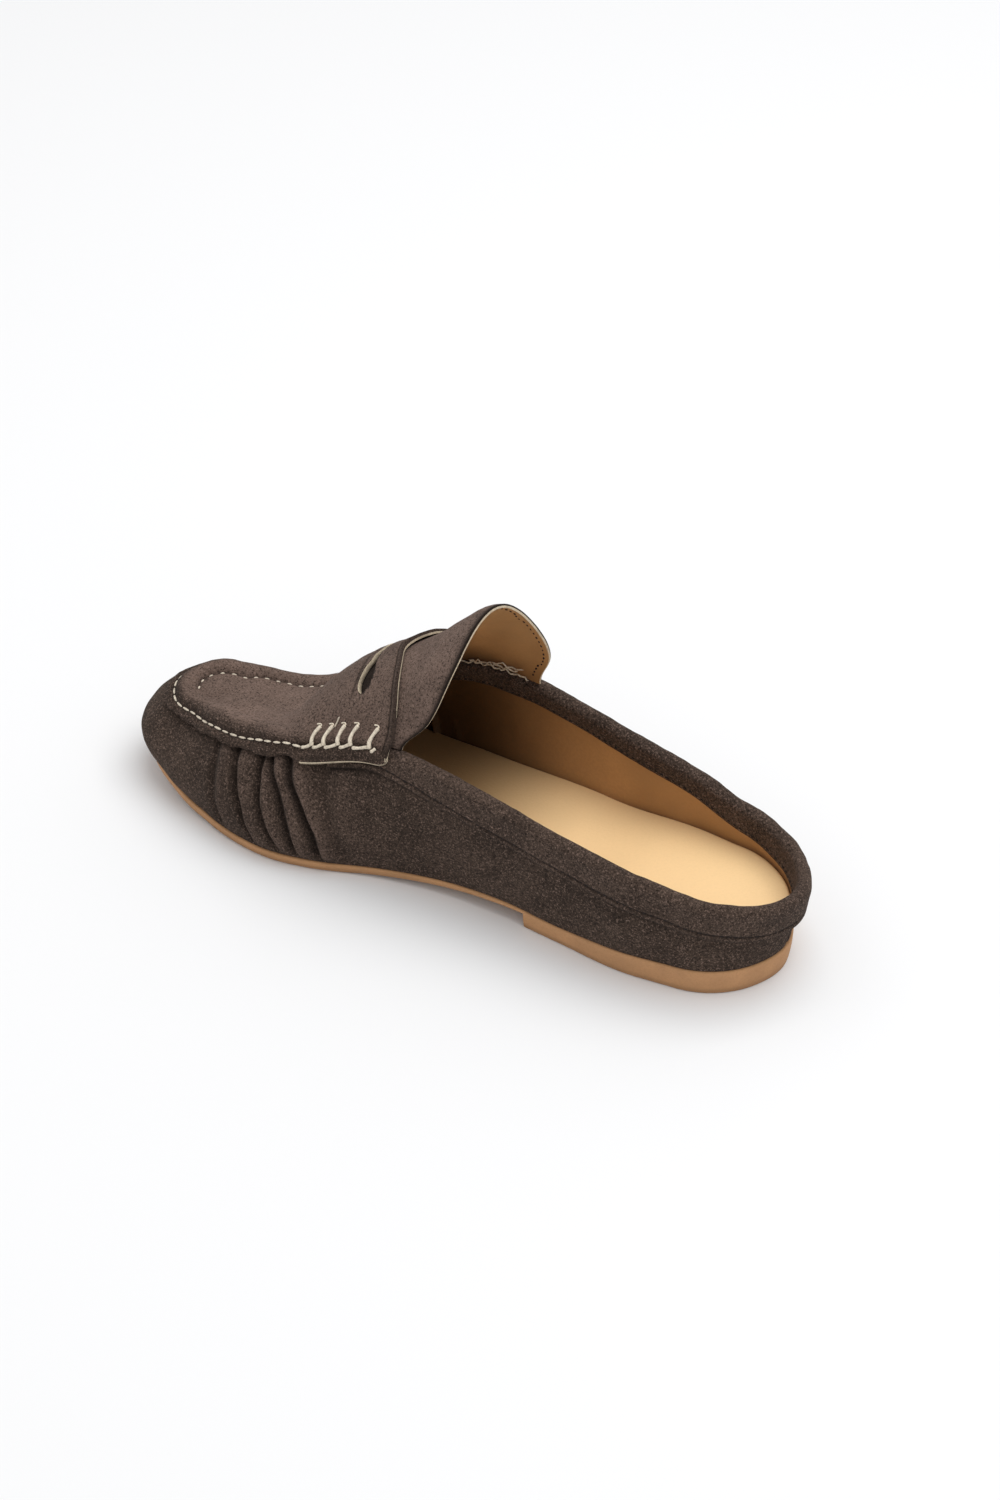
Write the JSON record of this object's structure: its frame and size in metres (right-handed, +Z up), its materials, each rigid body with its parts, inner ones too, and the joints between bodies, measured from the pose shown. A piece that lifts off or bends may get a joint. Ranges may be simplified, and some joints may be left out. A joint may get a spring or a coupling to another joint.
{
  "type": "loafer mule",
  "caption": "Backless suede penny loafer for the right foot: low moulded sole, pleated vamp, raised apron with saddle, padded collar, high tongue.",
  "frame": {"origin": "centre of the shoe's outline, on the floor that it stands on", "axes": "+X towards the back of the heel, the toe points to -X, +Z up, the inner side of the foot is at -Y"},
  "size_m": [0.2676, 0.0874, 0.1073],
  "materials": {
    "outsole": "satin moulded rubber",
    "insole": "smooth",
    "upper": "suede",
    "collar": "suede",
    "tongue": "suede",
    "apron": "suede"
  },
  "bodies": {
    "root": {"outsole": "outsole", "insole": "insole", "upper": "upper", "collar": "collar", "tongue": "tongue", "apron": "apron"}
  },
  "joints": []
}
